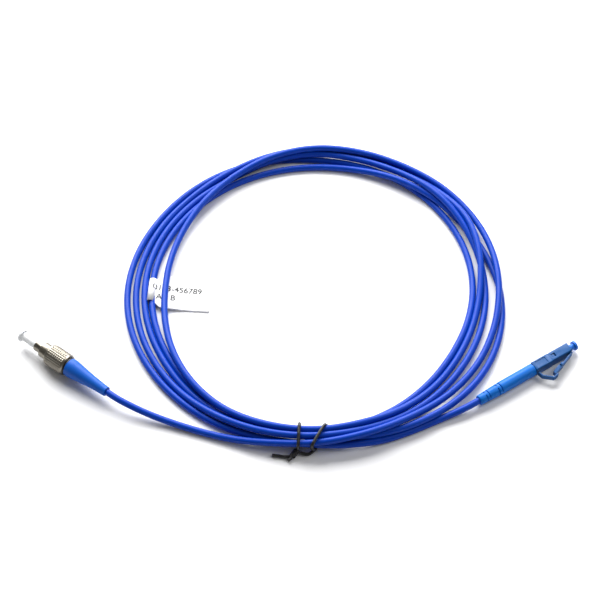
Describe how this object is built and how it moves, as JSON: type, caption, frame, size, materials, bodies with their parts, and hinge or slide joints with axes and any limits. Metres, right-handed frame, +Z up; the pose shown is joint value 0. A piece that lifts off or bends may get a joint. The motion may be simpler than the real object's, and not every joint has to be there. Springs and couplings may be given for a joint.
{
  "type": "fiber optic patch cord",
  "caption": "Coiled single-fibre optical patch cord with a threaded round plug on one end, a small latched square plug on the other, dust caps, label flag and twist tie.",
  "frame": {"origin": "on the table, at the bottom centre of the whole object's box", "axes": "+X towards the LC plug, along the longest side; +Y away from the tie, across the coil; +Z up"},
  "size_m": [0.2473, 0.1767, 0.01],
  "materials": {
    "nickel": "nickel plate over turned brass, satin",
    "crimp_brass": "drawn brass sleeve",
    "spring_steel": "drawn stainless wire",
    "zirconia": "polished white ceramic",
    "buffer": "extruded white buffer",
    "aramid": "loose yellow aramid yarn",
    "fc_boot_blue": "soft moulded blue elastomer",
    "lc_boot_blue": "soft moulded azure elastomer",
    "black_plastic": "moulded black plastic",
    "clear_cap": "frosted natural polyethylene, milky",
    "lc_cap_blue": "moulded blue polyethylene",
    "lc_housing_blue": "moulded blue engineering plastic",
    "cord_jacket": "extruded royal blue jacket, satin",
    "tie_black": "black plastic-coated tie wire",
    "paper": "white self-adhesive paper"
  },
  "bodies": {
    "root": {"fc_frame": "nickel", "fc_stop_body": "nickel", "fc_spring": "spring_steel", "fc_fibre": "buffer", "fc_aramid_yarn": "aramid", "fc_crimp_sleeve": "crimp_brass", "fc_boot": "fc_boot_blue", "cord_fc_end": "cord_jacket", "cord_fc_tail": "cord_jacket", "cord_coil": "cord_jacket", "cord_lc_tail": "cord_jacket", "cord_lc_end": "cord_jacket", "lc_boot": "lc_boot_blue", "lc_crimp_sleeve": "crimp_brass", "lc_aramid_yarn": "aramid", "lc_fibre": "buffer", "lc_spring": "spring_steel", "lc_stop_body": "nickel", "lc_rear_housing": "lc_housing_blue", "lc_front_housing": "lc_housing_blue", "twist_tie": "tie_black", "label": "paper"},
    "fc_nut_slider": {"fc_nut_ring": "black_plastic"},
    "fc_nut": {"fc_coupling_nut": "nickel"},
    "fc_ferrule_unit": {"fc_ferrule": "zirconia", "fc_ferrule_flange": "nickel"},
    "fc_cap": {"fc_dust_cap": "clear_cap"},
    "lc_ferrule_unit": {"lc_ferrule": "zirconia", "lc_ferrule_flange": "nickel"},
    "lc_cap": {"lc_dust_cap": "lc_cap_blue"},
    "lc_latch_arm": {"lc_latch": "lc_housing_blue"},
    "lc_trigger_arm": {"lc_trigger": "lc_housing_blue"}
  },
  "joints": [
    {"name": "fc_nut_slide", "type": "slide", "parent": "root", "child": "fc_nut_slider", "axis": [-0.7944, 0.6074, 0], "range_m": [0, 0.0078]},
    {"name": "fc_nut_spin", "type": "hinge", "parent": "fc_nut_slider", "child": "fc_nut", "pos_m": [-0.10429, -0.04112, 0.00505], "axis": [0.7944, -0.6074, 0], "continuous": true},
    {"name": "fc_ferrule_slide", "type": "slide", "parent": "root", "child": "fc_ferrule_unit", "axis": [0.7944, -0.6074, 0], "range_m": [0, 0.001], "stiffness_N_per_m": 800, "springref_m": -0.001, "deforming": ["fc_spring", "fc_fibre"]},
    {"name": "fc_cap_pull", "type": "slide", "parent": "fc_ferrule_unit", "child": "fc_cap", "axis": [-0.7944, 0.6074, 0], "range_m": [0, 0.025]},
    {"name": "lc_ferrule_slide", "type": "slide", "parent": "root", "child": "lc_ferrule_unit", "axis": [-0.8339, -0.5519, 0], "range_m": [0, 0.001], "stiffness_N_per_m": 500, "springref_m": -0.001, "deforming": ["lc_spring", "lc_fibre"]},
    {"name": "lc_cap_pull", "type": "slide", "parent": "lc_ferrule_unit", "child": "lc_cap", "axis": [0.8339, 0.5519, 0], "range_m": [0, 0.02]},
    {"name": "lc_trigger_press", "type": "hinge", "parent": "root", "child": "lc_trigger_arm", "pos_m": [0.10482, -0.04658, 0.0029], "axis": [0, 0, 1], "range_deg": [0, 12], "stiffness_Nm_per_rad": 0.02},
    {"name": "lc_latch_press", "type": "hinge", "parent": "root", "child": "lc_latch_arm", "pos_m": [0.12022, -0.03615, 0.0029], "axis": [0, 0, 1], "range_deg": [-5, 0], "stiffness_Nm_per_rad": 0.02}
  ],
  "couplings": [
    {"joint": "lc_latch_press", "follows": "lc_trigger_press", "ratio": -0.41}
  ]
}
